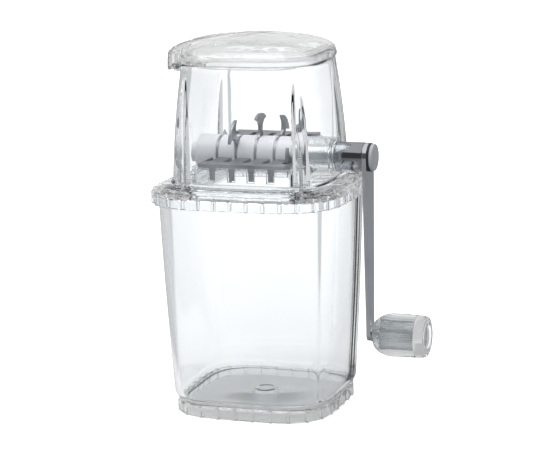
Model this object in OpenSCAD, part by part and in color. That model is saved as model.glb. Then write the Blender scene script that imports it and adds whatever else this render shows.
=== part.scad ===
// Hand-cranked ice crusher: a square clear tub, a lift-off crusher head with a hinged lid,
// and a steel crank that turns five claw blades between two fixed combs.
// Millimetres, +Z up, origin at the centre of the foot's resting face, crank on +X, front on -Y.

/* [Tub] */
// Half-width of the tub's outside just above the foot
tub_low_h = 53; // [50:0.5:54]
// Half-width of the tub's outside at its rim
tub_top_h = 60; // [58:0.5:60]
// How far the tub's sides bow out between foot and rim
tub_bow = 0.6; // [0:0.1:1.5]
// Thickness of the tub's walls
tub_wall = 2.4; // [1.8:0.2:3]
// Half-width of the foot ring between its ribs
foot_h = 51.6; // [50:0.2:52]

/* [Head] */
// Half-width of the collar between its ribs
collar_h = 63.2; // [63:0.2:65]
// Half-width of the hopper's outside at its base
hopper_low_h = 51.5; // [50:0.5:52]
// Half-width of the hopper's outside at its rim
hopper_top_h = 44.7; // [44:0.1:45]
// How far the hopper's sides bow out
hopper_bow = 0.95; // [0:0.05:1.2]
// Thickness of the hopper's walls
hopper_wall = 2.8; // [2.2:0.2:3]
// Half-width of the lid's skirt
lid_h = 45.6; // [45:0.2:46]

/* [Crank] */
// Height of the crank's axis
axis_z = 164.6; // [164:0.2:165]
// Distance from the crank's axis to the knob's axis
crank_r = 115.2; // [100:1:118]
// Radius of the claw blades' tips
blade_r = 26.3; // [24:0.1:26.5]
// Distance between neighbouring blades
blade_pitch = 13; // [12.5:0.1:13]
// Radius of the drum spacers
drum_r = 11.8; // [11:0.1:12]

/* [Hidden] */
$fn = 64;

clear = [0.86, 0.9, 0.92, 0.35];
steel = [0.62, 0.64, 0.67];
pale = [0.87, 0.88, 0.9];
black = [0.12, 0.12, 0.13];

squareness = 3.77; // exponent of the rounded-square plan
plan_points = 72;
eps = 0.01;

// Foot and tub
foot_top_z = 8.1;
foot_wall = 2.6;
foot_ribs = 30;
foot_rib_shift = 0.165; // share of a pitch
rib_out = 1;
rib_w = 1.9;
tub_base_z = 6.2;
tub_floor_z = 8.6;
tub_neck_z = 13;
tub_rim_z = 143.7;
gate_r = 6.6;
gate_w = 1.1;
gate_rise = 0.5;

// Collar
collar_z = 138;
collar_top_z = 147;
collar_wall = 2.5;
collar_ribs = 40;
deck_t = 3.2;
rim_step = 0.8;
step_h = 58;
step_z = 149;
mouth_gap = 0.3;

// Hopper
hopper_z = 149.2;
hopper_rim_z = 226;
flange_h = 52.6;
flange_t = 2.2;
post_x = 40;
post_r = 5;
post_top_z = 216;
screw_x = 38.8;
pilot_r = 1.4;
pilot_len = 26;
port_r = 10;
boss_r = 9.4;
boss_x = -43.2;

// Housing screws
screw_r = 1.38;
screw_len = 30;
screw_head_r = 3;
screw_head_t = 2;
screw_clear_r = 1.7;

// Tray and combs
tray_x = 33.8;
tray_y = 39.8;
tray_r = 4;
tray_wall = 2.4;
tray_low_z = 143.2;
tray_z = 149.3;
tray_top_z = 161.4;
tray_flange = 3.6;
tray_flange_t = 1.7;
comb_t = 2.2;
comb_half_x = 28.6;
comb_z = 161.6;
comb_gap_y = 13.6;
comb_back_y = 39.6;
tab_back_y = 37.3;
comb_slot_w = 4;
comb_slot_end = 30;
tab_w = 4.2;
tab_t = 1.4;
tab_len = 8.6;
window_w = 5;
window_low_z = 152.4;
window_high_z = 159.3;
rear_rise = 9.6; // how much higher the rear comb sits than the front one

// Shaft line: every x along the crank's axis
shaft_left_x = -45.4;
square_left_x = -42.4;
square_right_x = 31.2;
journal_r = 4;
square_w = 7.6;
shaft_right_x = 74.3;
outer_shaft_r = 5;
drum_left_x = -42;
drum_right_x = 30.8;
fit = 0.05;
bush_left_x = -47.4;
bush_out_x = 51.5;
bush_in_x = 46.8;
sleeve_x = 51.7;
sleeve_r = 9.5;
arm_x = 70;
arm_t = 3;
washer_x = 73;
washer_t = 1.3;
washer_r = 9.1;
cap_x = 74.3;
cap_t = 2.3;
cap_r = 8.7;

// Blades
blade_t = 1.8;
blade_x = [for (i = [-2:2]) i * blade_pitch];
blade_turn = [128, -46, 2, 34, -92]; // degrees from straight up, positive towards the back
blade_hub_r = 11.3;
claw_half_angle = 22;
flank_x = 8.6;
flank_z = 15.9;
flank_r = 6.6;
crest_r = 17;

// Knob
knob_z = axis_z - crank_r;
spindle_r = 3;
spindle_run = 0.06;
spindle_end_x = 101;
knob_in_x = 78.6;
knob_cap_x = 103.2;
knob_out_x = 110;
knob_r = 14;
core_r = 9.6;
core_flutes = 24;

// Lid and hinge
lid_z = 226.25;
lid_shoulder_z = 229.4;
lid_top_z = 243.5;
lid_t = 2.3;
lobe_out = 11.4;
lobe_drop = 6.4;
lobe_flat_y = 15.5;
lobe_end_y = 24;
hinge_x = -50.5;
hinge_z = 222;
pin_r = 1.5;
pin_half = 15;
ear_in_y = 10;
ear_out_y = 14;
ear_r = 3.3;
ear_root_x = -43.6;
knuckle_half = 9.6;
plug_h = 40.2;
plug_drop = 3;
plug_wall = 1.8;

// ---- shared shapes ----

// One corner of the rounded-square plan at angle a, for half-width h
function plan_r(h, a) = h / pow(pow(abs(cos(a)), squareness) + pow(abs(sin(a)), squareness), 1 / squareness);
function plan(h, n = plan_points) = [for (i = [0:n - 1]) let (a = 360 * i / n) plan_r(h, a) * [cos(a), sin(a)]];
function ring(h, z) = [for (p = plan(h)) [p.x, p.y, z]];

// Closed solid through a list of rings that all have the same number of points
module loft(rings) {
    n = len(rings[0]);
    last = (len(rings) - 1) * n;
    sides = [for (k = [0:len(rings) - 2], i = [0:n - 1])
        [k * n + i, (k + 1) * n + i, (k + 1) * n + (i + 1) % n, k * n + (i + 1) % n]];
    floor_face = [[for (i = [0:n - 1]) i]];
    top_face = [[for (i = [0:n - 1]) last + n - 1 - i]];
    polyhedron([for (r = rings) each r], concat(floor_face, sides, top_face), convexity = 4);
}

module plan_prism(h, z0, z1) {
    translate([0, 0, z0]) linear_extrude(z1 - z0) polygon(plan(h));
}

// Angles of points spaced evenly along the plan's edge, the first one shifted by a share of the spacing
function even_angles(h, count, shift) = let (n = 180, p = plan(h, n),
    table = [for (i = 0, s = 0; i <= n; s = s + norm(p[(i + 1) % n] - p[i % n]), i = i + 1) [s, 360 * i / n]])
    [for (k = [0:count - 1]) lookup(table[n][0] * (k + shift) / count, table)];
function power(v, e) = sign(v) * pow(abs(v), e);
// Direction square to the plan's edge at angle a
function outward(a) = atan2(power(sin(a), squareness - 1), power(cos(a), squareness - 1));

// Rounded square with upright ribs spaced evenly round it
module ribbed_plan(h, count, shift) {
    polygon(plan(h));
    for (a = even_angles(h, count, shift))
        translate(plan_r(h, a) * [cos(a), sin(a)]) rotate(outward(a))
            translate([-2, -rib_w / 2]) square([2 + rib_out, rib_w]);
}

module x_cylinder(r, x0, x1) {
    translate([x0, 0, 0]) rotate([0, 90, 0]) cylinder(r = r, h = x1 - x0);
}

module on_axis() {
    translate([0, 0, axis_z]) children();
}

module on_knob() {
    translate([0, 0, knob_z]) children();
}

module rounded_box(hx, hy, r, z0, z1) {
    translate([0, 0, z0]) linear_extrude(z1 - z0) union() {
        square([2 * hx, 2 * (hy - r)], center = true);
        square([2 * (hx - r), 2 * hy], center = true);
        for (sx = [-1, 1], sy = [-1, 1]) translate([sx * (hx - r), sy * (hy - r)]) circle(r);
    }
}

// ---- tub ----

function tub_at(z) = tub_low_h + (tub_top_h - tub_low_h) * z / tub_rim_z + tub_bow * sin(180 * z / tub_rim_z);
tub_levels = [tub_neck_z, 34, 56, 78, 100, 122, tub_rim_z];

module ice_tub() {
    color(clear) {
        difference() {
            loft(concat([ring(foot_h - 1.2, tub_base_z), ring(foot_h - 0.4, tub_floor_z - 0.3)],
                [for (z = tub_levels) ring(tub_at(z), z)]));
            loft(concat([ring(foot_h - 4.6, tub_floor_z), ring(foot_h - 3.2, tub_floor_z + 1.2)],
                [for (z = tub_levels) ring(tub_at(z) - tub_wall, z + (z == tub_rim_z ? 1 : 0))]));
        }
        translate([0, 0, tub_floor_z - eps]) difference() {
            cylinder(r = gate_r, h = gate_rise);
            translate([0, 0, -1]) cylinder(r = gate_r - gate_w, h = gate_rise + 2);
        }
    }
}

module foot_ring() {
    color(clear) difference() {
        linear_extrude(foot_top_z) ribbed_plan(foot_h, foot_ribs, foot_rib_shift);
        plan_prism(foot_h - foot_wall, -1, tub_base_z);
        loft([ring(foot_h - 1.2, tub_base_z - eps), ring(foot_h - 0.35, tub_floor_z - 0.2)]);
    }
}

// ---- head ----

module corner_places(x) {
    for (sx = [-1, 1], sy = [-1, 1]) translate([sx * x, sy * x, 0]) children();
}

module collar() {
    color(clear) difference() {
        union() {
            translate([0, 0, collar_z]) linear_extrude(collar_top_z - collar_z - rim_step)
                ribbed_plan(collar_h, collar_ribs, 0);
            plan_prism(collar_h - rim_step, collar_top_z - deck_t, collar_top_z);
            plan_prism(step_h, collar_top_z - deck_t, step_z);
        }
        plan_prism(collar_h - collar_wall, collar_z - 1, collar_top_z - deck_t);
        rounded_box(tray_x + mouth_gap, tray_y + mouth_gap, tray_r, collar_z, step_z + 1);
        corner_places(screw_x) translate([0, 0, collar_z]) cylinder(r = screw_clear_r, h = step_z);
    }
}

function hopper_at(z) = let (t = (z - hopper_z) / (hopper_rim_z - hopper_z))
    hopper_low_h + (hopper_top_h - hopper_low_h) * t + hopper_bow * sin(180 * t);
hopper_levels = [hopper_z, 162, 175, 188, 201, 214, hopper_rim_z];

module hopper_outside() {
    loft([for (z = hopper_levels) ring(hopper_at(z), z)]);
}

// Upright posts inside the corners: the leaning walls swallow them towards the top, in a point
module corner_posts() {
    intersection() {
        corner_places(post_x) translate([0, 0, hopper_z]) cylinder(r = post_r, h = post_top_z - hopper_z);
        hopper_outside();
    }
}

module hopper() {
    color(clear) difference() {
        union() {
            difference() {
                hopper_outside();
                loft([for (z = hopper_levels)
                    ring(hopper_at(z) - hopper_wall, z + (z == hopper_rim_z ? 1 : (z == hopper_z ? -1 : 0)))]);
            }
            difference() {
                plan_prism(flange_h, hopper_z, hopper_z + flange_t);
                plan_prism(hopper_low_h - hopper_wall, hopper_z - 1, hopper_z + flange_t + 1);
            }
            corner_posts();
            on_axis() x_cylinder(boss_r, bush_left_x - 1.4, boss_x);
            for (s = [-1, 1]) hinge_ear(s);
        }
        corner_places(screw_x) translate([0, 0, hopper_z - 1]) cylinder(r = pilot_r, h = pilot_len);
        on_axis() x_cylinder(port_r, 40, 60);
        on_axis() x_cylinder(journal_r + 2.5, bush_left_x - 0.1, boss_x + 1);
        translate([hinge_x, -pin_half - 1, hinge_z]) rotate([-90, 0, 0])
            cylinder(r = pin_r + eps, h = 2 * pin_half + 2);
    }
}

// One of the two ears that hold the ends of the hinge pin
module hinge_ear(side) {
    low_y = side > 0 ? ear_in_y : -ear_out_y;
    translate([0, low_y + ear_out_y - ear_in_y, 0]) rotate([90, 0, 0]) linear_extrude(ear_out_y - ear_in_y) union() {
        translate([hinge_x, hinge_z]) circle(ear_r);
        polygon([[hinge_x, hinge_z + ear_r], [hinge_x, hinge_z - ear_r], [ear_root_x, hinge_z - ear_r + 0.5],
            [ear_root_x, hinge_z + ear_r - 0.3]]);
    }
}

module housing_screws() {
    color(steel) corner_places(screw_x) {
        translate([0, 0, collar_top_z - deck_t - screw_head_t]) cylinder(r = screw_head_r, h = screw_head_t);
        translate([0, 0, collar_top_z - deck_t - eps]) cylinder(r = screw_r, h = screw_len);
    }
}

// Openings between the blades that the comb's tabs hang in
module tray_windows(side, rise) {
    for (i = [-3:2:3])
        translate([i * blade_pitch / 2 - window_w / 2, side * tray_y - 6, window_low_z + rise])
            cube([window_w, 12, window_high_z - window_low_z]);
}

module cutter_tray() {
    color(clear) difference() {
        union() {
            rounded_box(tray_x, tray_y, tray_r, tray_low_z, tray_top_z);
            rounded_box(tray_x + tray_flange, tray_y + tray_flange, tray_r, tray_z, tray_z + tray_flange_t);
            translate([-tray_x + tray_r, tray_y - tray_wall, tray_z])
                cube([2 * (tray_x - tray_r), tray_wall, tray_top_z + rear_rise - tray_z]);
        }
        rounded_box(tray_x - tray_wall, tray_y - tray_wall, tray_r - tray_wall, tray_low_z - 1, tray_top_z + 1);
        corner_places(post_x) translate([0, 0, tray_low_z]) cylinder(r = post_r + mouth_gap, h = 40);
        tray_windows(-1, 0);
        tray_windows(1, rear_rise);
        on_axis() x_cylinder(drum_r + 0.9, -60, 60);
    }
}

// Flat plate with a slot for each blade and tabs that hang into the tray's windows
module comb(z) {
    difference() {
        translate([-comb_half_x, comb_gap_y, z]) cube([2 * comb_half_x, comb_back_y - comb_gap_y, comb_t]);
        for (x = blade_x) translate([x - comb_slot_w / 2, 0, z - 1]) cube([comb_slot_w, comb_slot_end, comb_t + 2]);
    }
    for (i = [-3:2:3]) translate([i * blade_pitch / 2 - tab_w / 2, tab_back_y - tab_t, z - tab_len])
        cube([tab_w, tab_t, tab_len + eps]);
}

module front_comb() {
    color(steel) mirror([0, 1, 0]) comb(comb_z);
}

module rear_comb() {
    color(steel) comb(comb_z + rear_rise);
}

module bush_left() {
    color(clear) on_axis() difference() {
        x_cylinder(journal_r + 2.4, bush_left_x, drum_left_x - 0.6);
        x_cylinder(journal_r + fit, shaft_left_x - 0.4, drum_left_x);
    }
}

module bush_right() {
    color(clear) on_axis() difference() {
        union() {
            x_cylinder(port_r - 0.1, square_right_x + 0.2, bush_out_x);
            x_cylinder(drum_r + 0.4, square_right_x + 0.2, bush_in_x);
        }
        x_cylinder(outer_shaft_r + fit, 30, 60);
    }
}

module hinge_pin() {
    color(steel) translate([hinge_x, -pin_half, hinge_z]) rotate([-90, 0, 0]) cylinder(r = pin_r, h = 2 * pin_half);
}

// ---- lid ----

// How strongly the hinge lobe shows at height y on the lid's left side, from 0 to 1
function lobe_share(a) = let (y = abs(plan_r(lid_h, a) * sin(a)))
    cos(a) > 0 ? 0 : y < lobe_flat_y ? 1 : y > lobe_end_y ? 0
        : 0.5 + 0.5 * cos(180 * (y - lobe_flat_y) / (lobe_end_y - lobe_flat_y));
lid_points = 96;
function lid_ring(h, lobe, z, drop) = [for (i = [0:lid_points - 1]) let (a = 360 * i / lid_points,
    w = lobe_share(a), r = plan_r(h, a)) [r * cos(a) - lobe * w, r * sin(a), z - drop * w * w]];
// Height and half-width of the pillow top, from the shoulder to near the crown
lid_profile = [[231.4, 44.7, 11.2], [233.6, 42.9, 10.4], [235.6, 40, 9.2], [237.6, 35.6, 7.6], [239.4, 30, 5.6],
    [241, 22.4, 3.4], [242.4, 13, 1.4], [lid_top_z, 3, 0]];

module lid() {
    color(clear) difference() {
        union() {
            difference() {
                loft(concat([lid_ring(lid_h, lobe_out, lid_z, lobe_drop),
                    lid_ring(lid_h, lobe_out, lid_shoulder_z, 0)],
                    [for (p = lid_profile) lid_ring(p[1], p[2], p[0], 0)]));
                loft(concat([lid_ring(lid_h - lid_t, lobe_out, lid_z - lobe_drop - 1, 0),
                    lid_ring(lid_h - lid_t, lobe_out, lid_shoulder_z - 0.4, 0)],
                    [for (p = lid_profile) if (p[1] > 5) lid_ring(p[1] - lid_t, p[2], p[0] - lid_t + 0.3, 0)]));
                plan_prism(hopper_top_h + 0.6, lid_z - lobe_drop - 2, lid_z);
            }
            difference() {
                plan_prism(plug_h, lid_z - plug_drop, lid_shoulder_z + 2.6);
                plan_prism(plug_h - plug_wall, lid_z - plug_drop - 1, lid_shoulder_z + 4);
            }
            translate([0, knuckle_half, 0]) rotate([90, 0, 0]) linear_extrude(2 * knuckle_half) union() {
                translate([hinge_x, hinge_z]) circle(ear_r);
                translate([hinge_x - 2.6, hinge_z]) square([5.2, 9.6]);
            }
        }
        translate([hinge_x, -knuckle_half - 1, hinge_z]) rotate([-90, 0, 0])
            cylinder(r = pin_r + fit, h = 2 * knuckle_half + 2);
    }
}

// ---- crank ----

module shaft() {
    color(steel) on_axis() {
        x_cylinder(journal_r, shaft_left_x, square_left_x + eps);
        translate([square_left_x, -square_w / 2, -square_w / 2])
            cube([square_right_x - square_left_x, square_w, square_w]);
        x_cylinder(outer_shaft_r, square_right_x - eps, arm_x - 0.2);
        x_cylinder(journal_r, arm_x - 1, shaft_right_x);
    }
}

// Drum piece with a square bore and a small chamfer at each end
module spacer(x0, x1) {
    color(pale) on_axis() difference() {
        translate([x0, 0, 0]) rotate([0, 90, 0]) rotate_extrude()
            polygon([[0, 0], [drum_r - 0.5, 0], [drum_r, 0.5], [drum_r, x1 - x0 - 0.5], [drum_r - 0.5, x1 - x0],
                [0, x1 - x0]]);
        translate([x0 - 1, -square_w / 2 - fit, -square_w / 2 - fit])
            cube([x1 - x0 + 2, square_w + 2 * fit, square_w + 2 * fit]);
    }
}

spacer_ends = concat([drum_left_x], blade_x, [drum_right_x]);
module drum_spacer(i) {
    spacer(spacer_ends[i - 1] + (i == 1 ? 0 : blade_t / 2), spacer_ends[i] - (i == 6 ? 0 : blade_t / 2));
}

// Claw seen along the shaft: a hub disc, a narrow stem and a crescent head
module claw_outline() {
    circle(blade_hub_r);
    difference() {
        intersection() {
            translate([0, blade_r - crest_r]) circle(crest_r);
            polygon([[0, 0], 30 * [-sin(claw_half_angle), cos(claw_half_angle)],
                30 * [sin(claw_half_angle), cos(claw_half_angle)]]);
        }
        for (s = [-1, 1]) translate([s * flank_x, flank_z]) circle(flank_r);
    }
}

module blade(i) {
    color(steel) translate([blade_x[i - 1] - blade_t / 2, 0, axis_z]) rotate([-blade_turn[i - 1], 0, 0])
        rotate([90, 0, 90]) linear_extrude(blade_t) difference() {
            claw_outline();
            rotate(blade_turn[i - 1]) square(square_w + 2 * fit, center = true);
        }
}

module hub_sleeve() {
    color(steel) on_axis() difference() {
        x_cylinder(sleeve_r, sleeve_x, arm_x);
        x_cylinder(outer_shaft_r + fit, sleeve_x - 1, arm_x + 1);
    }
}

module crank_arm() {
    color(steel) difference() {
        hull() {
            on_axis() x_cylinder(9.4, arm_x, arm_x + arm_t);
            on_axis() translate([0, 0, -14]) x_cylinder(7.9, arm_x, arm_x + arm_t);
            on_knob() x_cylinder(4.7, arm_x, arm_x + arm_t);
        }
        on_axis() x_cylinder(journal_r + fit, arm_x - 1, arm_x + arm_t + 1);
        on_knob() x_cylinder(spindle_r + fit, arm_x - 1, arm_x + arm_t + 1);
    }
}

module lock_washer() {
    color(black) on_axis() difference() {
        x_cylinder(washer_r, washer_x, washer_x + washer_t - eps);
        x_cylinder(journal_r + fit, washer_x - 1, washer_x + washer_t + 1);
    }
}

module cap_nut() {
    color(steel) on_axis() translate([cap_x, 0, 0]) rotate([0, 90, 0]) rotate_extrude()
        polygon([[0, 0], [cap_r, 0], [cap_r, cap_t - 0.6], [cap_r - 0.6, cap_t], [0, cap_t]]);
}

module knob_spindle() {
    color(steel) on_knob() {
        x_cylinder(spindle_r, arm_x - 0.4, spindle_end_x);
        x_cylinder(spindle_r + 1.4, spindle_end_x - eps, spindle_end_x + 1.2);
    }
}

module spindle_collar() {
    color(steel) on_knob() difference() {
        x_cylinder(5.2, arm_x + arm_t, knob_in_x - 1.8);
        x_cylinder(spindle_r + fit, arm_x, knob_in_x);
    }
}

// Outside of the barrel as [radius, distance from the inner end]
barrel_len = knob_cap_x - knob_in_x + 3.4;
function barrel_r(t) = knob_r * (0.62 + 0.38 * pow(sin(90 * min(1, t / 0.42)), 0.75)) - 0.7 * max(0, t - 0.55);

module knob_shell() {
    color(clear) on_knob() translate([knob_cap_x - barrel_len, 0, 0]) rotate([0, 90, 0]) difference() {
        rotate_extrude() polygon(concat([[0, 0]],
            [for (i = [0:16]) [barrel_r(i / 16), barrel_len * i / 16]], [[0, barrel_len]]));
        translate([0, 0, 4.6]) cylinder(r = core_r + 0.3, h = barrel_len);
        translate([0, 0, -1]) cylinder(r = 5.6, h = barrel_len);
    }
}

module knob_core() {
    color(clear) on_knob() difference() {
        translate([knob_in_x + 2, 0, 0]) rotate([0, 90, 0]) linear_extrude(knob_cap_x - knob_in_x - 2.2)
            polygon([for (i = [0:4 * core_flutes - 1]) let (a = 90 * i / core_flutes,
                r = core_r - 0.35 + 0.35 * cos(core_flutes * a)) r * [cos(a), sin(a)]]);
        x_cylinder(spindle_r + spindle_run, knob_in_x, spindle_end_x - 0.3);
        x_cylinder(spindle_r + 1.9, spindle_end_x - 0.4, knob_cap_x + 1);
    }
}

module knob_cap() {
    color(clear) on_knob() translate([knob_cap_x + 0.02, 0, 0]) rotate([0, 90, 0]) difference() {
        rotate_extrude() union() {
            square([9, knob_out_x - knob_cap_x]);
            square([barrel_r(1), 1.8]);
            intersection() {
                translate([barrel_r(1) - 5, 1.8]) circle(5);
                square([20, knob_out_x - knob_cap_x]);
            }
        }
        translate([0, 0, knob_out_x - knob_cap_x - 1.2]) cylinder(r = 7.2, h = 3);
        translate([0, 0, -1]) cylinder(r = 4, h = 2.4);
    }
}

ice_tub();
foot_ring();
collar();
hopper();
housing_screws();
cutter_tray();
front_comb();
rear_comb();
bush_left();
bush_right();
hinge_pin();
lid();
shaft();
drum_spacer(1);  // spacer_1
drum_spacer(2);  // spacer_2
drum_spacer(3);  // spacer_3
drum_spacer(4);  // spacer_4
drum_spacer(5);  // spacer_5
drum_spacer(6);  // spacer_6
blade(1);  // blade_1
blade(2);  // blade_2
blade(3);  // blade_3
blade(4);  // blade_4
blade(5);  // blade_5
hub_sleeve();
crank_arm();
lock_washer();
cap_nut();
knob_spindle();
spindle_collar();
knob_shell();
knob_core();
knob_cap();
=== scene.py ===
import bisect
import math

import bmesh
import bpy
from mathutils import Matrix, Vector


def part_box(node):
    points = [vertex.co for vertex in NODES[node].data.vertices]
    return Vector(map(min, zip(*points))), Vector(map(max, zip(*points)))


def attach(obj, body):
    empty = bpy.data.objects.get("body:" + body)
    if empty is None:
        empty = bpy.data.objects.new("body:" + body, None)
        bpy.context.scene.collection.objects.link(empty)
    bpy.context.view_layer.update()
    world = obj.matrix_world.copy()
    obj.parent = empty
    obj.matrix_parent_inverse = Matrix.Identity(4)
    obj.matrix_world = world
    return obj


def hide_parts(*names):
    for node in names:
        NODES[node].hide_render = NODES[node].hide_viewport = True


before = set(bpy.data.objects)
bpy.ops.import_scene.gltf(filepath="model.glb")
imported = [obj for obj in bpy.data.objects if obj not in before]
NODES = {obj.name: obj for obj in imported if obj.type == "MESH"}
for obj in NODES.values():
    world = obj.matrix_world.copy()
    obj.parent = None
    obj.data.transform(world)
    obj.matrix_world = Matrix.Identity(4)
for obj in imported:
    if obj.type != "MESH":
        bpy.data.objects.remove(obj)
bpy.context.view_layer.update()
MM = 0.001


# ---- camera, first ----

CAM_AZIMUTH = 19.33  # degrees, 0 looks along +Y
CAM_ELEVATION = 11.3
CAM_ROLL = -1.38
CAM_DISTANCE = 1.45
CAM_TARGET = Vector((0, 0, 0.12))
CAM_LENS = 149.06
CAM_SHIFT = (0.0132, -0.0068)


def view_axes(azimuth, elevation, roll):
    """The camera's right, up and backward directions in the shared frame."""
    a, e, r = (math.radians(v) for v in (azimuth, elevation, roll))
    back = Vector((math.sin(a) * math.cos(e), -math.cos(a) * math.cos(e), math.sin(e)))
    right = Vector((math.cos(a), math.sin(a), 0))
    up = back.cross(right)
    return right * math.cos(r) + up * math.sin(r), up * math.cos(r) - right * math.sin(r), back


def add_camera():
    camera = bpy.data.objects.new("camera", bpy.data.cameras.new("camera"))
    bpy.context.scene.collection.objects.link(camera)
    right, up, back = view_axes(CAM_AZIMUTH, CAM_ELEVATION, CAM_ROLL)
    turn = Matrix((right, up, back)).transposed()
    camera.matrix_world = Matrix.Translation(CAM_TARGET + back * CAM_DISTANCE) @ turn.to_4x4()
    camera.data.lens = CAM_LENS
    camera.data.sensor_width = 36
    camera.data.shift_x, camera.data.shift_y = CAM_SHIFT
    camera.data.clip_start = 0.05
    bpy.context.scene.camera = camera


add_camera()


# ---- node helpers ----

class Tree:
    """A short way to build a node tree."""

    def __init__(self, tree):
        self.tree = tree
        tree.nodes.clear()

    def node(self, kind, **values):
        made = self.tree.nodes.new(kind)
        for key, value in values.items():
            if hasattr(made, key):
                setattr(made, key, value)
            else:
                made.inputs[key.replace("_", " ")].default_value = value
        return made

    def link(self, out, into):
        self.tree.links.new(out, into)


def new_material(name):
    material = bpy.data.materials.new(name)
    material.use_nodes = True
    return material, Tree(material.node_tree)


def object_noise(t, scale, detail=2.0, stretch=(1, 1, 1), roughness=0.5):
    """Noise in the object's own coordinates, stretched along its axes."""
    place = t.node("ShaderNodeTexCoord")
    mapping = t.node("ShaderNodeMapping")
    mapping.inputs["Scale"].default_value = stretch
    noise = t.node("ShaderNodeTexNoise", Scale=scale, Detail=detail, Roughness=roughness)
    t.link(place.outputs["Object"], mapping.inputs["Vector"])
    t.link(mapping.outputs["Vector"], noise.inputs["Vector"])
    return noise.outputs["Fac"]


def ramped(t, value, low, high, start=0.3, end=0.7):
    """value from start..end moved to low..high."""
    node = t.node("ShaderNodeMapRange")
    for socket, number in (("From Min", start), ("From Max", end), ("To Min", low), ("To Max", high)):
        node.inputs[socket].default_value = number
    t.link(value, node.inputs["Value"])
    return node.outputs["Result"]


def mixed_colour(t, value, first, second):
    """The first colour where value is 0, the second where it is 1."""
    node = t.node("ShaderNodeMix", data_type="RGBA")
    sockets = {socket.identifier: socket for socket in (*node.inputs, *node.outputs)}
    sockets["A_Color"].default_value = (*first, 1)
    sockets["B_Color"].default_value = (*second, 1)
    t.link(value, node.inputs["Factor"])
    return sockets["Result_Color"]


def bumped(t, value, strength, distance):
    node = t.node("ShaderNodeBump", Strength=strength, Distance=distance)
    t.link(value, node.inputs["Height"])
    return node.outputs["Normal"]


def combined(t, operation, first, second):
    """A Math node over two numbers or outputs."""
    node = t.node("ShaderNodeMath", operation=operation)
    for socket, value in zip(node.inputs, (first, second)):
        if isinstance(value, (int, float)):
            socket.default_value = value
        else:
            t.link(value, socket)
    return node.outputs[0]


def blended(t, factor, first, second):
    """The first number or output where factor is 0, the second where it is 1."""
    node = t.node("ShaderNodeMix", data_type="FLOAT")
    for socket, value in (("Factor", factor), ("A", first), ("B", second)):
        if isinstance(value, (int, float)):
            node.inputs[socket].default_value = value
        else:
            t.link(value, node.inputs[socket])
    return node.outputs["Result"]


def along(t, vector, axis):
    """How far a vector reaches in the direction of axis."""
    node = t.node("ShaderNodeVectorMath", operation="DOT_PRODUCT")
    node.inputs[1].default_value = axis
    t.link(vector, node.inputs[0])
    return node.outputs["Value"]


# ---- materials ----

def clear_plastic(name, tint=(0.965, 0.976, 0.982), shade=(0.935, 0.95, 0.96), wave=0.12, wave_scale=26,
                  shadow=0.9, clarity=1.0):
    """Glossy clear plastic with the slow ripple of a moulding and a little haze from handling.
    Shadow rays pass straight through, dimmed to shadow, so the floor has no hard caustic noise."""
    material, t = new_material(name)
    shader = t.node("ShaderNodeBsdfPrincipled", IOR=1.5)
    shader.inputs["Transmission Weight"].default_value = clarity
    flow = object_noise(t, wave_scale, 1.5, (1, 1, 0.45))
    fine = object_noise(t, 900, 3, (1, 1, 0.15))
    t.link(mixed_colour(t, ramped(t, flow, 0, 1), tint, shade), shader.inputs["Base Color"])
    t.link(ramped(t, fine, 0.0, 0.035, 0.45, 0.8), shader.inputs["Roughness"])
    t.link(bumped(t, flow, wave, 0.0012), shader.inputs["Normal"])
    path = t.node("ShaderNodeLightPath")
    through = t.node("ShaderNodeBsdfTransparent", Color=(shadow, shadow, shadow, 1))
    mix = t.node("ShaderNodeMixShader")
    out = t.node("ShaderNodeOutputMaterial")
    t.link(path.outputs["Is Shadow Ray"], mix.inputs["Fac"])
    t.link(shader.outputs[0], mix.inputs[1])
    t.link(through.outputs[0], mix.inputs[2])
    t.link(mix.outputs[0], out.inputs["Surface"])
    return material


def metal(name, bright, dull, rough, grain, grain_scale, bump):
    """Steel with a fine grain along one axis and uneven polish."""
    material, t = new_material(name)
    shader = t.node("ShaderNodeBsdfPrincipled", Metallic=1.0)
    cloud = object_noise(t, 60, 4)
    lines = object_noise(t, grain_scale, 5, grain)
    t.link(mixed_colour(t, ramped(t, cloud, 0, 1), bright, dull), shader.inputs["Base Color"])
    t.link(ramped(t, lines, rough[0], rough[1]), shader.inputs["Roughness"])
    t.link(bumped(t, lines, bump, 0.0003), shader.inputs["Normal"])
    out = t.node("ShaderNodeOutputMaterial")
    t.link(shader.outputs[0], out.inputs["Surface"])
    return material


def moulded(name, light, dark, rough, coat):
    """Opaque moulded plastic with a fine texture."""
    material, t = new_material(name)
    shader = t.node("ShaderNodeBsdfPrincipled", IOR=1.46)
    shader.inputs["Coat Weight"].default_value = coat
    shader.inputs["Coat Roughness"].default_value = 0.12
    cloud = object_noise(t, 90, 3)
    grain = object_noise(t, 2600, 2)
    t.link(mixed_colour(t, ramped(t, cloud, 0, 1), light, dark), shader.inputs["Base Color"])
    t.link(ramped(t, grain, *rough), shader.inputs["Roughness"])
    t.link(bumped(t, grain, 0.15, 0.0001), shader.inputs["Normal"])
    out = t.node("ShaderNodeOutputMaterial")
    t.link(shader.outputs[0], out.inputs["Surface"])
    return material


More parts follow.
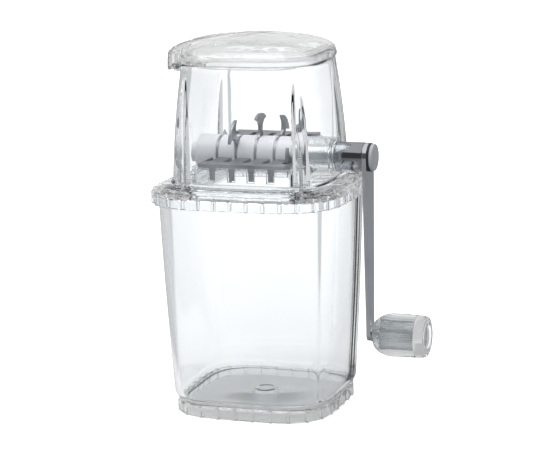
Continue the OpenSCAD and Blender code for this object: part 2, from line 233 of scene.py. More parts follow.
CLEAR = clear_plastic("clear_plastic", shadow=0.985)
CLEAR_TUB = clear_plastic("clear_tub_plastic", shadow=0.75)
CLEAR_BAND = clear_plastic("clear_band_plastic", wave=0.6, wave_scale=95, shadow=0.95)
# The foot and the lid are the same clear plastic, painted lighter: their paler tints and lower clarity stand in
# for light.
CLEAR_FOOT_PAINTED_LIGHTER = clear_plastic("clear_foot_plastic", (0.99, 0.993, 0.995), (0.975, 0.98, 0.985),
                           wave=0.6, wave_scale=95, shadow=0.95, clarity=0.88)
CLEAR_LID_PAINTED_LIGHTER = clear_plastic("clear_lid_plastic", (0.995, 0.997, 0.998), (0.98, 0.985, 0.989),
                          wave=0.4, wave_scale=42, shadow=0.985, clarity=0.96)
# The knob's core and barrel are the same clear plastic painted darker, as painted shade. Its cap is painted
# lighter, as painted light.
CLEAR_CORE_PAINTED_DARKER = clear_plastic("clear_core", (0.8, 0.815, 0.825), (0.68, 0.7, 0.71),
                           wave=0.03, wave_scale=60)
CLEAR_KNOB_PAINTED_DARKER = clear_plastic("clear_knob", (0.8, 0.815, 0.825), (0.7, 0.72, 0.73),
                           wave=0.1, wave_scale=60)
CLEAR_KNOB_CAP_PAINTED_LIGHTER = clear_plastic("clear_knob_cap", (0.93, 0.945, 0.95), (0.88, 0.895, 0.9),
                               wave=0.1, wave_scale=60)
# One polished steel for the sleeve and the arm: the sleeve's copy is painted darker, as painted shade, and the
# arm's lighter, as painted light.
SLEEVE_STEEL_PAINTED_DARKER = metal("polished_steel", (0.43, 0.445, 0.47), (0.35, 0.37, 0.4), (0.05, 0.14),
                 grain=(1, 1, 0.06), grain_scale=700, bump=0.06)
ARM_STEEL_PAINTED_LIGHTER = metal("arm_steel", (0.82, 0.84, 0.87), (0.72, 0.745, 0.78), (0.1, 0.2),
                  grain=(1, 1, 0.06), grain_scale=700, bump=0.06)
SATIN = metal("satin_steel", (0.62, 0.635, 0.655), (0.54, 0.56, 0.59), (0.24, 0.36),
              grain=(1, 0.2, 1), grain_scale=900, bump=0.1)
BLADE_STEEL = metal("blade_steel", (0.44, 0.45, 0.47), (0.24, 0.25, 0.27), (0.3, 0.45),
                    grain=(1, 1, 0.25), grain_scale=800, bump=0.1)
SCREW = metal("screw_steel", (0.9, 0.91, 0.92), (0.8, 0.81, 0.83), (0.38, 0.5),
              grain=(1, 1, 1), grain_scale=700, bump=0.05)
DRUM = moulded("drum_plastic", (0.88, 0.89, 0.92), (0.82, 0.83, 0.87), rough=(0.28, 0.42), coat=0.15)
CAP = moulded("satin_cap", (0.5, 0.515, 0.54), (0.42, 0.435, 0.46), rough=(0.3, 0.42), coat=0.3)
BLACK = moulded("black_washer", (0.02, 0.02, 0.022), (0.035, 0.035, 0.038), rough=(0.4, 0.55), coat=0.0)


# ---- mesh helpers: every size below is in millimetres ----

SQUARENESS = 3.77  # exponent of the rounded-square plan
INNER_SQUARENESS = 3.65  # the tub's inside corners are a little rounder than its outside
SHARP = math.radians(32)  # edges that turn further than this stay sharp


def make_piece(name, verts, faces, material, body, slot, node):
    """A mesh object that replaces a CAD node and rides on its body, smooth except along its sharp edges."""
    mesh = bpy.data.meshes.new(name)
    mesh.from_pydata([Vector(v) * MM for v in verts], [], faces)
    bm = bmesh.new()
    bm.from_mesh(mesh)
    bmesh.ops.remove_doubles(bm, verts=bm.verts, dist=1e-7)
    bmesh.ops.recalc_face_normals(bm, faces=bm.faces)
    for face in bm.faces:
        face.smooth = True
    for edge in bm.edges:
        edge.smooth = len(edge.link_faces) == 2 and edge.calc_face_angle(0) < SHARP
    bm.to_mesh(mesh)
    bm.free()
    piece = bpy.data.objects.new(name, mesh)
    bpy.context.scene.collection.objects.link(piece)
    mesh.materials.append(material)
    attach(piece, body)
    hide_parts(node)
    return piece


def skin(rings, closed=False):
    """Vertices and faces over rings with the same number of points. Open ends get a flat cap."""
    n = len(rings[0])
    verts = [p for ring in rings for p in ring]
    faces = []
    last = len(rings) if closed else len(rings) - 1
    for k in range(last):
        k2 = (k + 1) % len(rings)
        faces += [(k * n + i, k * n + (i + 1) % n, k2 * n + (i + 1) % n, k2 * n + i) for i in range(n)]
    if not closed:
        faces.append(tuple(range(n - 1, -1, -1)))
        faces.append(tuple(range((len(rings) - 1) * n, len(rings) * n)))
    return verts, faces


def merged(*parts):
    """Several (vertices, faces) lists as one."""
    verts, faces = [], []
    for v, f in parts:
        faces += [tuple(i + len(verts) for i in face) for face in f]
        verts += v
    return verts, faces


def plan_radius(h, a, n=SQUARENESS):
    """Radius at plan angle a of a rounded square with half-width h, or of a rectangle with h = (x, y)."""
    hx, hy = h if isinstance(h, tuple) else (h, h)
    return (abs(math.cos(a) / hx) ** n + abs(math.sin(a) / hy) ** n) ** (-1 / n)


def power(value, exponent):
    """A power that keeps the value's sign."""
    return math.copysign(abs(value) ** exponent, value)


def outward(a):
    """The direction that the plan's edge faces at plan angle a."""
    return Vector((power(math.cos(a), SQUARENESS - 1), power(math.sin(a), SQUARENESS - 1))).normalized()


def angle_at(h, steps=1440):
    """A function from the share of the way round the plan's edge to the plan angle, and the edge's length."""
    points = [Vector((math.cos(a), math.sin(a))) * plan_radius(h, a)
              for a in (math.tau * i / steps for i in range(steps + 1))]
    lengths = [0.0]
    for p, q in zip(points, points[1:]):
        lengths.append(lengths[-1] + (q - p).length)

    def find(share):
        want = lengths[-1] * (share % 1.0)
        i = min(bisect.bisect_right(lengths, want), len(lengths) - 1) - 1
        return math.tau * (i + (want - lengths[i]) / (lengths[i + 1] - lengths[i])) / (len(points) - 1)

    return find, lengths[-1]


# Stations round the plan are (plan angle, share of a rib's height).
EVEN_ANGLE, _ = angle_at(50)
PLAIN = [(EVEN_ANGLE(i / 240), 0.0) for i in range(240)]
# A rib's section is (place across its half-width, share of its height).
RIB_PROFILE = [(-1.0, 0.0), (-0.8, 0.85), (-0.7, 1.0), (0.7, 1.0), (0.8, 0.85), (1.0, 0.0)]


def rib_stations(h, count, shift, width, between=3):
    """Stations round the plan that follow the rounded side and top of each rib."""
    find, length = angle_at(h)
    half = width / 2 * count / length
    marks = [(place * half, out) for place, out in RIB_PROFILE]
    marks += [(half + (1 - 2 * half) * (j + 1) / (between + 1), 0.0) for j in range(between)]
    return sorted((find((k + shift + place) / count), out) for k in range(count) for place, out in marks)


def square_ring(h, z, stations=PLAIN, rib=0.0, n=SQUARENESS):
    """One ring of points at height z, with ribs that stand out by rib."""
    ring = []
    for a, out in stations:
        point = Vector((math.cos(a), math.sin(a))) * plan_radius(h, a, n) + outward(a) * (out * rib)
        ring.append((point.x, point.y, z))
    return ring


def filleted(points, steps=4):
    """A path of (x, y, corner radius) with each corner rounded. The ends keep their place."""
    path = []
    for i, (x, y, r) in enumerate(points):
        here = Vector((x, y))
        if r <= 0 or i in (0, len(points) - 1):
            path.append((x, y))
            continue
        before = Vector(points[i - 1][:2]) - here
        after = Vector(points[i + 1][:2]) - here
        angle = before.angle(after)
        cut = min(r / math.tan(angle / 2), 0.49 * before.length, 0.49 * after.length)
        start, end = here + before.normalized() * cut, here + after.normalized() * cut
        for k in range(steps + 1):
            s = k / steps
            point = start * (1 - s) ** 2 + here * 2 * s * (1 - s) + end * s * s
            path.append(tuple(point))
    return path


def lathe(path, origin, segments=96, closed=False):
    """Turns a path of (distance along X, radius) about a line through origin along X."""
    rings = []
    for x, r in path:
        rings.append([(origin[0] + x, origin[1] + r * math.cos(math.tau * i / segments),
                       origin[2] + r * math.sin(math.tau * i / segments)) for i in range(segments)])
    return skin(rings, closed)


def half_circle(x, z, r, start, steps=16):
    """Points on a half circle in the XZ plane, from the angle start."""
    angles = [start + math.pi * i / steps for i in range(steps + 1)]
    return [(x + r * math.cos(a), z + r * math.sin(a)) for a in angles]


# ---- sizes that are shared, in millimetres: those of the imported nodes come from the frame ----

def low(node):
    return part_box(node)[0] / MM


def high(node):
    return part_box(node)[1] / MM


AXIS_Z = (low("hub_sleeve").z + high("hub_sleeve").z) / 2
KNOB_Z = (low("knob_shell").z + high("knob_shell").z) / 2
TUB_TOP_H = high("ice_tub").x
TUB_RIM_Z = high("ice_tub").z
TUB_BASE_Z = low("ice_tub").z
TUB_LOW_H = 53.0
TUB_BOW = 0.6
TUB_WALL = 2.4
SWELLS = ((-37, 3.2, 0.75), (44, 19, 2.0))  # thick places inside: plan angle, width in degrees, height
TUB_NECK_Z = 13.0
FLOOR_Z = 8.6
FOOT_H = 51.6
FOOT_TOP_Z = high("foot_ring").z
COLLAR_Z = low("collar").z
COLLAR_TOP_Z = 147.0
COLLAR_H = 63.2
STEP_H = 58.0
STEP_Z = high("collar").z
RIB_OUT = 1.0
RIB_W = 1.9
FOOT_RIBS = 30
COLLAR_RIBS = 40


# ---- tub ----

def tub_half(z):
    """Half the tub's outside width at height z."""
    return TUB_LOW_H + (TUB_TOP_H - TUB_LOW_H) * z / TUB_RIM_Z + TUB_BOW * math.sin(math.pi * z / TUB_RIM_Z)


def spread(low_z, high_z, count):
    """Evenly spaced heights, both ends included."""
    return [low_z + (high_z - low_z) * i / (count - 1) for i in range(count)]


def corner_stations():
    """Stations that are dense for 12 degrees on each side of the corners."""
    angles = {round(a, 6) for a, _ in PLAIN}
    for quarter in range(4):
        middle = math.pi / 4 + quarter * math.pi / 2
        angles |= {round(middle + math.radians(12) * i / 40, 6) for i in range(-40, 41)}
    return [(a, 0.0) for a in sorted(angles)]


def swollen(point):
    """The tub's inside, where the moulding is a little thicker in two of the corners."""
    x, y, z = point
    a = math.degrees(math.atan2(y, x))
    inward = sum(height * math.exp(-((a - middle) / width) ** 2) for middle, width, height in SWELLS)
    scale = 1 - inward / math.hypot(x, y)
    return x * scale, y * scale, z


def build_tub():
    # paths are (half-width, height, corner radius), from under the floor's middle round to its top
    heights = spread(TUB_NECK_Z + 2, TUB_RIM_Z - 1.4, 22)
    outside = [(1.5, TUB_BASE_Z, 0), (FOOT_H - 2, TUB_BASE_Z, 0.8), (FOOT_H - 0.6, FLOOR_Z - 0.4, 0.5),
               (tub_half(TUB_NECK_Z), TUB_NECK_Z, 3)] + [(tub_half(z), z, 0) for z in heights]
    rim = [(tub_half(TUB_RIM_Z), TUB_RIM_Z, 1.0), (tub_half(TUB_RIM_Z) - TUB_WALL, TUB_RIM_Z, 1.0)]
    inside = [(tub_half(z) - TUB_WALL, z, 0) for z in reversed(heights)]
    floor = [(tub_half(TUB_NECK_Z) - TUB_WALL - 0.4, TUB_NECK_Z - 1, 4), (FOOT_H - 5, FLOOR_Z, 3)]
    # the small raised ring round the moulding's gate, in the middle of the floor
    gate = [(8, FLOOR_Z, 0.3), (7.2, FLOOR_Z + 0.7, 0.3), (6.2, FLOOR_Z + 0.7, 0.3), (5.6, FLOOR_Z, 0.3),
            (1.5, FLOOR_Z, 0)]
    path = filleted(outside + rim + inside + floor + gate)
    rim_at = path.index(max(path, key=lambda p: (p[1], -p[0])))
    stations = corner_stations()
    rings = []
    for k, (h, z) in enumerate(path):
        squareness = SQUARENESS if k <= rim_at else INNER_SQUARENESS
        squared = min(1.0, max(0.0, (h - 9) / 30))  # the rings turn round towards the middle of the floor
        ring = square_ring(h, z, stations, n=2 + (squareness - 2) * squared)
        if k > rim_at and z > TUB_NECK_Z:
            ring = [swollen(point) for point in ring]
        rings.append(ring)
    make_piece("clear_tub", *skin(rings), CLEAR_TUB, "tub", "clear_plastic", "ice_tub")


def build_foot():
    stations = rib_stations(FOOT_H, FOOT_RIBS, 0.165, RIB_W + 0.3)
    inner = FOOT_H - 2.6
    # (half-width, height, share of the rib's height; below 0 the rib shows on the inside)
    path = [(inner, 0.4, -0.6), (inner + 0.4, 0, 0), (FOOT_H - 0.5, 0, 1), (FOOT_H, 0.5, 1),
            (FOOT_H, FOOT_TOP_Z - 0.6, 1), (FOOT_H - 0.3, FOOT_TOP_Z - 0.1, 0.6),
            (FOOT_H - 0.7, FOOT_TOP_Z, 0.3), (FOOT_H - 1.0, TUB_BASE_Z - 0.05, 0),
            (inner, TUB_BASE_Z - 0.1, -0.6)]
    rings = [square_ring(h, z, stations, RIB_OUT * rib) for h, z, rib in path]
    make_piece("clear_foot", *skin(rings, closed=True), CLEAR_FOOT_PAINTED_LIGHTER, "tub", "clear_plastic", "foot_ring")


# ---- head ----

MOUTH = (34.1, 40.1)  # half the opening over the tub, along X and Y
MOUTH_EDGE = (34.4, 40.4)
MOUTH_SQUARENESS = 12


def build_collar():
    stations = rib_stations(COLLAR_H, COLLAR_RIBS, 0.0, RIB_W + 0.6)
    deck = 143.8
    inner = COLLAR_H - 2.5
    # (half-width, height, share of the rib's height): the mouth's top edge, the step that the hopper stands
    # on, the rim and its skirt, the deck's underside, and back to the mouth
    path = [(MOUTH, STEP_Z - 0.3, 0), (MOUTH_EDGE, STEP_Z, 0),
            (STEP_H - 0.5, STEP_Z, 0), (STEP_H, STEP_Z - 0.3, 0), (STEP_H + 0.35, COLLAR_TOP_Z + 0.3, 0),
            (STEP_H + 0.8, COLLAR_TOP_Z, 0), (COLLAR_H - 1.0, COLLAR_TOP_Z, 0),
            (COLLAR_H - 0.45, COLLAR_TOP_Z - 0.25, 0.5), (COLLAR_H, COLLAR_TOP_Z - 0.9, 1),
            (COLLAR_H, COLLAR_Z + 0.5, 1), (COLLAR_H - 0.4, COLLAR_Z, 1), (COLLAR_H - 2.1, COLLAR_Z, 0),
            (inner, COLLAR_Z + 0.4, -0.35), (inner, deck - 0.6, -0.35),
            (COLLAR_H - 3.2, deck, 0), (MOUTH_EDGE, deck, 0), (MOUTH, deck + 0.3, 0)]
    rings = [square_ring(h, z, stations, RIB_OUT * rib,
                         MOUTH_SQUARENESS if isinstance(h, tuple) else SQUARENESS) for h, z, rib in path]
    make_piece("clear_collar", *skin(rings, closed=True), CLEAR_BAND, "head", "clear_plastic", "collar")


HOPPER_Z = low("hopper").z
HOPPER_RIM_Z = 226.0
HOPPER_LOW_H = 51.5
HOPPER_TOP_H = 44.7
HOPPER_BOW = 0.95
HOPPER_WALL = 2.8
POST_X = 39.3  # of the posts' middles, along X and Y
POST_R = 5.0
POST_TOP_Z = 218.5


def hopper_half(z):
    """Half the hopper's outside width at height z."""
    t = (z - HOPPER_Z) / (HOPPER_RIM_Z - HOPPER_Z)
    return HOPPER_LOW_H + (HOPPER_TOP_H - HOPPER_LOW_H) * t + HOPPER_BOW * math.sin(math.pi * t)


def smooth_min(a, b, k):
    """The smaller of two lengths, with a fillet of about k where they cross."""
    h = max(k - abs(a - b), 0) / k
    return min(a, b) - h * h * k / 4


def post_radius(a):
    """Distance along direction a to the near side of the corner post, or a large number past it."""
    post = Vector((math.copysign(POST_X, math.cos(a)), math.copysign(POST_X, math.sin(a))))
    reach = post.dot(Vector((math.cos(a), math.sin(a))))
    miss = post.length_squared - reach * reach
    return reach - math.sqrt(POST_R ** 2 - miss) if miss < POST_R ** 2 else 1e3


def hopper_inner_ring(z, stations):
    """The hopper's inside at height z, with the corner posts standing in from the walls. The wall's taper
    runs each post out to its pointed top."""
    ring = []
    for a, _ in stations:
        r = plan_radius(hopper_half(z) - HOPPER_WALL, a)
        if z < POST_TOP_Z:
            r = smooth_min(r, post_radius(a), 0.8)
        ring.append((r * math.cos(a), r * math.sin(a), z))
    return ring


def drawn_out(points, low_y, high_y):
    """An outline in the XZ plane, drawn out along Y."""
    return skin([[(x, y, z) for x, z in points] for y in (low_y, high_y)])


HINGE_X, HINGE_Z = -50.5, 222.0
EAR_R = 3.3
EAR_ROOT_X = -43.9  # inside the hopper's wall
EAR_SPANS = ((-14, -10), (10, 14))
KNUCKLE_SPAN = (-9.6, 9.6)


def build_hopper():
    stations = corner_stations()
    flange_h, flange_z = 52.6, HOPPER_Z + 2.2
    wall_low_z, wall_top_z = flange_z + 0.7, HOPPER_RIM_Z - 1.2
    top = hopper_half(HOPPER_RIM_Z)
    inner_top = top - HOPPER_WALL
    outside = [(flange_h - 0.4, HOPPER_Z), (flange_h, HOPPER_Z + 0.4), (flange_h, flange_z - 0.5),
               (flange_h - 0.5, flange_z), (hopper_half(flange_z) + 0.5, flange_z + 0.1)]
    outside += [(hopper_half(z), z) for z in spread(wall_low_z, wall_top_z, 24)]
    rim = [(top - 0.3, HOPPER_RIM_Z - 0.3), (top - 1, HOPPER_RIM_Z),
           (inner_top + 0.9, HOPPER_RIM_Z), (inner_top + 0.2, HOPPER_RIM_Z - 0.5)]
    rings = [square_ring(h, z, stations) for h, z in outside + rim]
    rings += [hopper_inner_ring(z, stations) for z in reversed(spread(HOPPER_Z, wall_top_z, 56))]
    shell = skin(rings, closed=True)
    outline = half_circle(HINGE_X, HINGE_Z, EAR_R, math.pi / 2)
    outline += [(EAR_ROOT_X, HINGE_Z - EAR_R + 0.5), (EAR_ROOT_X, HINGE_Z + EAR_R - 0.3)]
    ears = [drawn_out(outline, *span) for span in EAR_SPANS]
    make_piece("clear_hopper", *merged(shell, *ears), CLEAR, "head", "clear_plastic", "hopper")


# ---- lid ----

LID_H = 45.6
LID_Z = 226.25
CREASE_Z, CREASE_H = 232.6, 44.3
LID_TOP_Z = high("lid").z
LID_T = 2.3
LOBE_OUT = 11.4  # how far the lobe over the hinge stands out, and hangs down
LOBE_DROP = 6.4
LOBE_FLAT_Y, LOBE_END_Y = 15.5, 24.0
PLUG_H, PLUG_WALL, PLUG_DROP = 40.2, 1.8, 3.0  # the ring that keeps the lid in place inside the hopper


def lobe_share(a):
    """1 over the hinge's lobe, falling smoothly to 0 beside it."""
    y = abs(plan_radius(LID_H, a) * math.sin(a))
    if math.cos(a) > 0 or y > LOBE_END_Y:
        return 0.0
    if y < LOBE_FLAT_Y:
        return 1.0
    return 0.5 + 0.5 * math.cos(math.pi * (y - LOBE_FLAT_Y) / (LOBE_END_Y - LOBE_FLAT_Y))


def dome_half(t):
    """Half-width of the pillow top, from the crease at t = 0 to the crown at t = 1."""
    return CREASE_H * max(0.0, 1 - t ** 1.5) ** (1 / 1.75)


def dome_lobe(t):
    """How far the lobe stands out of the pillow top."""
    return (LOBE_OUT - 0.4) * max(0.0, 1 - t ** 4) ** 0.8


def lid_ring(h, lobe, z, drop):
    """A ring of the lid at height z, which hangs down by drop over the lobe."""
    ring = []
    squared = min(1.0, max(0.0, (h - 2) / 30))  # the rings turn round towards the crown
    n = 2 + (SQUARENESS - 2) * squared
    for a, _ in PLAIN:
        w, r = lobe_share(a), plan_radius(h, a, n)
        ring.append((r * math.cos(a) - lobe * w, r * math.sin(a), z - drop * w * w))
    return ring


def build_lid():
    rise = LID_TOP_Z - CREASE_Z
    shares = [math.sin(math.pi / 2 * i / 26) for i in range(1, 26)] + [0.9995]
    inner = LID_H - LID_T

    def skirt(h, z, drop):
        return lid_ring(h, LOBE_OUT, z, drop)

    rings = [skirt(LID_H - 0.5, LID_Z, LOBE_DROP), skirt(LID_H, LID_Z + 0.5, LOBE_DROP),
             skirt(LID_H, LID_Z + 1.5, 0.7 * LOBE_DROP), skirt(LID_H - 0.1, LID_Z + 2.6, 0.35 * LOBE_DROP),
             skirt(LID_H - 0.4, CREASE_Z - 2.2, 0), skirt(CREASE_H + 0.3, CREASE_Z - 0.2, 0),
             skirt(CREASE_H - 0.3, CREASE_Z + 0.15, 0)]
    rings += [lid_ring(dome_half(t) - 0.3, dome_lobe(t), CREASE_Z + 0.3 + (rise - 0.3) * t, 0)
              for t in shares]
    rings += [lid_ring((dome_half(t) - 0.3) * inner / LID_H, dome_lobe(t),
                       CREASE_Z - 1.4 + (rise - LID_T + 1.4) * t, 0) for t in reversed(shares)]
    rings += [skirt(CREASE_H - LID_T, CREASE_Z - 1.6, 0), skirt(inner - 0.4, CREASE_Z - 2.6, 0),
              skirt(inner, LID_Z + 2.2, 0.4 * LOBE_DROP), skirt(inner, LID_Z + 1.2, 0.75 * LOBE_DROP),
              skirt(inner, LID_Z + 0.4, LOBE_DROP), skirt(inner + 0.4, LID_Z, LOBE_DROP)]
    shell = skin(rings, closed=True)
    plug = skin([square_ring(h, z) for h, z in filleted(
        [(PLUG_H, 232.2, 0), (PLUG_H, LID_Z - PLUG_DROP, 0.7), (PLUG_H - PLUG_WALL, LID_Z - PLUG_DROP, 0.7),
         (PLUG_H - PLUG_WALL, 232.4, 0)])], closed=True)
    knuckle_top_z = CREASE_Z - 1
    knuckle = drawn_out(half_circle(HINGE_X, HINGE_Z, EAR_R, math.pi)
                        + [(HINGE_X + 2.6, knuckle_top_z), (HINGE_X - 2.6, knuckle_top_z)], *KNUCKLE_SPAN)
    make_piece("clear_lid", *merged(shell, plug, knuckle), CLEAR_LID_PAINTED_LIGHTER, "lid", "clear_plastic", "lid")


# ---- crank ----

def build_sleeve():
    lo, hi, r = low("hub_sleeve").x, high("hub_sleeve").x, high("hub_sleeve").y
    path = filleted([(0, 5.1, 0), (0, r, 1.1), (hi - lo, r, 0.5), (hi - lo, 5.1, 0)])
    make_piece("polished_sleeve", *lathe(path, (lo, 0, AXIS_Z), closed=True), SLEEVE_STEEL_PAINTED_DARKER, "crank",
               "polished_steel", "hub_sleeve")


def build_arm():
    """A flat arm whose outline is the hull of three circles."""
    lo, hi = low("crank_arm").x, high("crank_arm").x
    bm = bmesh.new()
    for z, r in ((AXIS_Z, 9.4), (AXIS_Z - 14, 7.9), (KNOB_Z, 4.7)):
        for i in range(64):
            a = math.tau * i / 64
            for x in (lo, hi):
                bm.verts.new(Vector((x, r * math.cos(a), z + r * math.sin(a))) * MM)
    hull = bmesh.ops.convex_hull(bm, input=bm.verts)
    inside = [v for v in hull["geom_interior"] if isinstance(v, bmesh.types.BMVert)]
    bmesh.ops.delete(bm, geom=inside, context="VERTS")
    bmesh.ops.dissolve_limit(bm, angle_limit=math.radians(1), verts=bm.verts, edges=bm.edges)
    mesh = bpy.data.meshes.new("arm")
    bm.to_mesh(mesh)
    bm.free()
    verts = [v.co / MM for v in mesh.vertices]
    faces = [tuple(p.vertices) for p in mesh.polygons]
    arm = make_piece("steel_arm", verts, faces, ARM_STEEL_PAINTED_LIGHTER, "crank", "polished_steel", "crank_arm")
    bevel = arm.modifiers.new("edge", "BEVEL")
    bevel.width = 0.45 * MM
    bevel.segments = 3
    bevel.limit_method = "ANGLE"
    bevel.angle_limit = math.radians(40)
    bevel.harden_normals = True


def build_cap():
    lo, hi, r = low("cap_nut").x, high("cap_nut").x, high("cap_nut").y
    path = filleted([(0, 0.4, 0), (0, r, 0.2), (hi - lo, r, 0.9), (hi - lo, 0.4, 0)])
    make_piece("steel_cap", *lathe(path, (lo, 0, AXIS_Z)), CAP, "crank", "brushed_steel", "cap_nut")


# ---- knob ----

BORE_R = 9.9  # the barrel's bore, round the core
NECK_BORE_R = 5.6
BARREL_STEPS = 40
FLUTES, FLUTE_DEPTH = 44, 0.35
CORE_R, CORE_BORE_R = 9.2, 3.1


def build_barrel():
    lo, hi = low("knob_shell").x, high("knob_shell").x
    length, widest = hi - lo, high("knob_shell").y

    def barrel(t):
        """Radius from the arm's end at t = 0 to the cap's at t = 1."""
        swell = math.sin(math.pi / 2 * min(1, t / 0.42)) ** 0.75
        return widest * (0.62 + 0.38 * swell) - 0.7 * max(0, t - 0.55)

    outside = [(0, NECK_BORE_R + 0.3, 0)]
    outside += [(length * i / BARREL_STEPS, barrel(i / BARREL_STEPS), 0) for i in range(BARREL_STEPS)]
    inside = [(length, BORE_R, 0), (4.6, BORE_R, 0.6), (4.6, NECK_BORE_R, 0.3), (0, NECK_BORE_R, 0)]
    path = filleted(outside + [(length, barrel(1), 0.4)] + inside)
    make_piece("knob_barrel", *lathe(path, (lo, 0, KNOB_Z), 128, closed=True), CLEAR_KNOB_PAINTED_DARKER, "knob",
               "clear_plastic", "knob_shell")


def build_core():
    lo, hi = low("knob_core").x, high("knob_core").x
    steps = FLUTES * 8
    rings = []
    for x, r, depth in ((lo, CORE_BORE_R, 0), (lo, CORE_R - 0.3, FLUTE_DEPTH), (lo + 0.4, CORE_R, FLUTE_DEPTH),
                        (hi - 0.4, CORE_R, FLUTE_DEPTH), (hi, CORE_R - 0.3, FLUTE_DEPTH), (hi, CORE_BORE_R, 0)):
        ring = []
        for i in range(steps):
            a = math.tau * i / steps
            out = r + depth * math.cos(FLUTES * a)
            ring.append((x, out * math.cos(a), KNOB_Z + out * math.sin(a)))
        rings.append(ring)
    make_piece("knob_fluted_core", *skin(rings, closed=True), CLEAR_CORE_PAINTED_DARKER, "knob", "clear_plastic",
               "knob_core")


def build_knob_cap():
    lo, hi, r = low("knob_cap").x, high("knob_cap").x, high("knob_cap").y
    length, recess_r = hi - lo, 7.6
    floor = length - 1.2  # of the round recess in the cap's face
    path = filleted([(0, 0.4, 0), (0, r, 0.3), (1.8, r, 0), (length, r - 0.6, 4.2), (length, recess_r, 0.4),
                     (floor, recess_r - 0.4, 0.4), (floor, 0.4, 0)], 6)
    make_piece("knob_end_cap", *lathe(path, (lo, 0, KNOB_Z), 128), CLEAR_KNOB_CAP_PAINTED_LIGHTER, "knob", "clear_plastic",
               "knob_cap")


# ---- screws ----

SCREW_XY = 38.8
THREAD_PITCH = 1.4
THREAD_R, THREAD_ROOT_R = 1.45, 0.95


def build_screws():
    head_z, tip_z = low("housing_screws").z, high("housing_screws").z
    path = [(head_z, 0.3), (head_z, 2.6), (head_z + 0.4, 3), (head_z + 2, 3), (head_z + 2, 1.1)]
    turn_z = head_z + 3
    while turn_z < tip_z - 3:
        path += [(turn_z, THREAD_ROOT_R), (turn_z + 0.45, THREAD_R), (turn_z + 0.6, THREAD_R),
                 (turn_z + 1.05, THREAD_ROOT_R)]
        turn_z += THREAD_PITCH
    path += [(turn_z, 0.9), (tip_z, 0.1)]
    circle = [(math.cos(math.tau * i / 24), math.sin(math.tau * i / 24)) for i in range(24)]
    screws = [skin([[(x + r * c, y + r * s, z) for c, s in circle] for z, r in path])
              for x in (-SCREW_XY, SCREW_XY) for y in (-SCREW_XY, SCREW_XY)]
    make_piece("threaded_screws", *merged(*screws), SCREW, "head", "brushed_steel", "housing_screws")


build_tub()
build_foot()
build_screws()
build_collar()
build_hopper()
build_lid()
build_sleeve()
build_arm()
build_cap()
build_barrel()
build_core()
build_knob_cap()


# ---- CAD nodes that stay, with their own materials ----

KEPT = {
    "cutter_tray": CLEAR, "bush_right": CLEAR, "bush_left": DRUM, "lock_washer": BLACK,
    "hinge_pin": SATIN, "shaft": SATIN, "knob_spindle": SATIN, "spindle_collar": SATIN,
    "front_comb": BLADE_STEEL, "rear_comb": BLADE_STEEL,
}
KEPT.update({f"spacer_{i}": DRUM for i in range(1, 7)})
KEPT.update({f"blade_{i}": BLADE_STEEL for i in range(1, 6)})
for kept_name, kept_material in KEPT.items():
    NODES[kept_name].data.materials.clear()
    NODES[kept_name].data.materials.append(kept_material)


# ---- floor, light and surroundings ----

STAGE_RIGHT, _, STAGE_FRONT = view_axes(CAM_AZIMUTH, 0, 0)


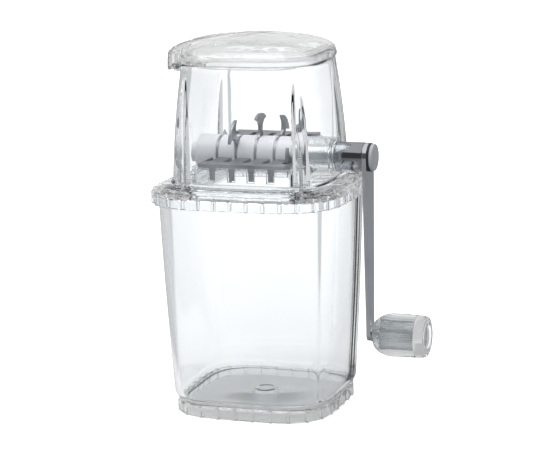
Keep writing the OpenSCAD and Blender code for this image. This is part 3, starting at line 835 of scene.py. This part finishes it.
def build_floor():
    """A run of white paper on a grey studio floor that glows with painted light, with a painted shadow under
    the object. The grey only shows in reflections and refractions.
    """
    half, gap = 4.0, 0.0002  # metres, as all distances on the floor are
    mesh = bpy.data.meshes.new("floor")
    corners = ((-half, -half), (half, -half), (half, half), (-half, half))
    mesh.from_pydata([(x, y, -gap) for x, y in corners], [], [(0, 1, 2, 3)])
    floor = bpy.data.objects.new("floor", mesh)
    bpy.context.scene.collection.objects.link(floor)
    material, t = new_material("pale_floor")
    place = t.node("ShaderNodeTexCoord").outputs["Object"]
    path = t.node("ShaderNodeLightPath")
    seen = path.outputs["Is Camera Ray"]
    through = combined(t, "MINIMUM", path.outputs["Transmission Depth"], 1)
    bare_gloss = combined(t, "MULTIPLY", path.outputs["Is Glossy Ray"], combined(t, "SUBTRACT", 1, through))
    length = t.node("ShaderNodeVectorMath", operation="LENGTH")
    t.link(place, length.inputs[0])
    away = length.outputs["Value"]
    across = along(t, place, STAGE_RIGHT)
    front = along(t, place, STAGE_FRONT)

    # where the paper lies: a strip that widens towards the back and ends in front of the object
    widening = combined(t, "MULTIPLY", combined(t, "MINIMUM", front, 0), 0.12)
    side = combined(t, "ADD", combined(t, "ABSOLUTE", across, 0), widening)
    paper_with_painted_reflection = combined(t, "MULTIPLY", ramped(t, side, 1, 0, 0.1, 0.16), ramped(t, front, 1, 0, 0.14, 0.22))
    # glossy rays that pass no clear plastic see the paper almost grey, a painted dark reflection; rays through
    # clear plastic see it at least 0.42 bright, and the camera always sees it white
    paper_with_painted_reflection = combined(t, "MULTIPLY", paper_with_painted_reflection, ramped(t, bare_gloss, 1, 0.06, 0, 1))
    paper_with_painted_reflection = combined(t, "MAXIMUM", paper_with_painted_reflection, combined(t, "MULTIPLY", through, 0.42))
    paper_with_painted_reflection = combined(t, "MAXIMUM", paper_with_painted_reflection, seen)

    # its glow, painted light: none under the object, a painted shadow, and less to the left and close by,
    # painted shade
    painted_shadow_under_object = combined(t, "MAXIMUM", ramped(t, away, 0.03, 1, 0.046, 0.064), seen)
    painted_shade_left_and_near = combined(t, "MULTIPLY", ramped(t, across, 0.6, 1, -0.13, -0.02),
                        ramped(t, away, 0.1, 1, 0.1, 0.9))
    painted_floor_glow = combined(t, "MULTIPLY", combined(t, "MULTIPLY", paper_with_painted_reflection, painted_shadow_under_object), painted_shade_left_and_near)
    painted_floor_glow = combined(t, "ADD", combined(t, "MULTIPLY", painted_floor_glow, 0.45), combined(t, "MULTIPLY", seen, 0.4))

    shader = t.node("ShaderNodeBsdfPrincipled", Roughness=0.7)
    t.link(mixed_colour(t, paper_with_painted_reflection, (0.24, 0.25, 0.26), (0.9, 0.9, 0.9)), shader.inputs["Base Color"])
    shader.inputs["Emission Color"].default_value = (1, 1, 1, 1)
    t.link(painted_floor_glow, shader.inputs["Emission Strength"])
    out = t.node("ShaderNodeOutputMaterial")
    t.link(shader.outputs[0], out.inputs["Surface"])
    mesh.materials.append(material)


WHITE = 0.95  # brightness of the backdrop and the overhead light
BESIDE = (0.34, 0.64)  # of the studio's sides, in reflections and through clear plastic
BEFORE = (0.1, 0.8)  # of the studio in front of the object, in reflections and through clear plastic


def build_world():
    """White backdrop and overhead light, with grey sides and a dark front that only reflections see."""
    world = bpy.data.worlds.new("studio")
    bpy.context.scene.world = world
    world.use_nodes = True
    t = Tree(world.node_tree)
    direction = t.node("ShaderNodeTexCoord").outputs["Generated"]
    split = t.node("ShaderNodeSeparateXYZ")
    t.link(direction, split.inputs[0])
    facing = along(t, direction, STAGE_FRONT)
    path = t.node("ShaderNodeLightPath")
    through = combined(t, "MINIMUM", path.outputs["Transmission Depth"], 1)
    level = blended(t, ramped(t, facing, 0, 1, -0.92, -0.82), WHITE, ramped(t, through, *BESIDE, 0, 1))
    level = blended(t, ramped(t, facing, 0, 1, 0.0, 0.4), level, ramped(t, through, *BEFORE, 0, 1))
    level = blended(t, ramped(t, split.outputs["Z"], 0, 1, 0.6, 0.66), level, WHITE)
    level = blended(t, path.outputs["Is Diffuse Ray"], level, 1.05)
    level = blended(t, path.outputs["Is Camera Ray"], level, 1.0)
    shader = t.node("ShaderNodeBackground")
    out = t.node("ShaderNodeOutputWorld")
    t.link(level, shader.inputs["Strength"])
    t.link(shader.outputs[0], out.inputs["Surface"])
    bpy.context.scene.view_settings.view_transform = "Standard"


def add_softbox():
    lamp = bpy.data.lights.new("top_softbox", "AREA")
    lamp.size = 1.4
    lamp.energy = 13
    holder = bpy.data.objects.new("top_softbox", lamp)
    bpy.context.scene.collection.objects.link(holder)
    holder.location = (-0.3, -0.2, 1.6)
    holder.rotation_euler = (CAM_TARGET - holder.location).to_track_quat("-Z", "Y").to_euler()
    holder.visible_glossy = False


build_floor()
build_world()
add_softbox()
# A view through the collar and the posts passes many clear walls.
bpy.context.scene.cycles.max_bounces = 32
bpy.context.scene.cycles.transmission_bounces = 32
bpy.context.scene.cycles.glossy_bounces = 12
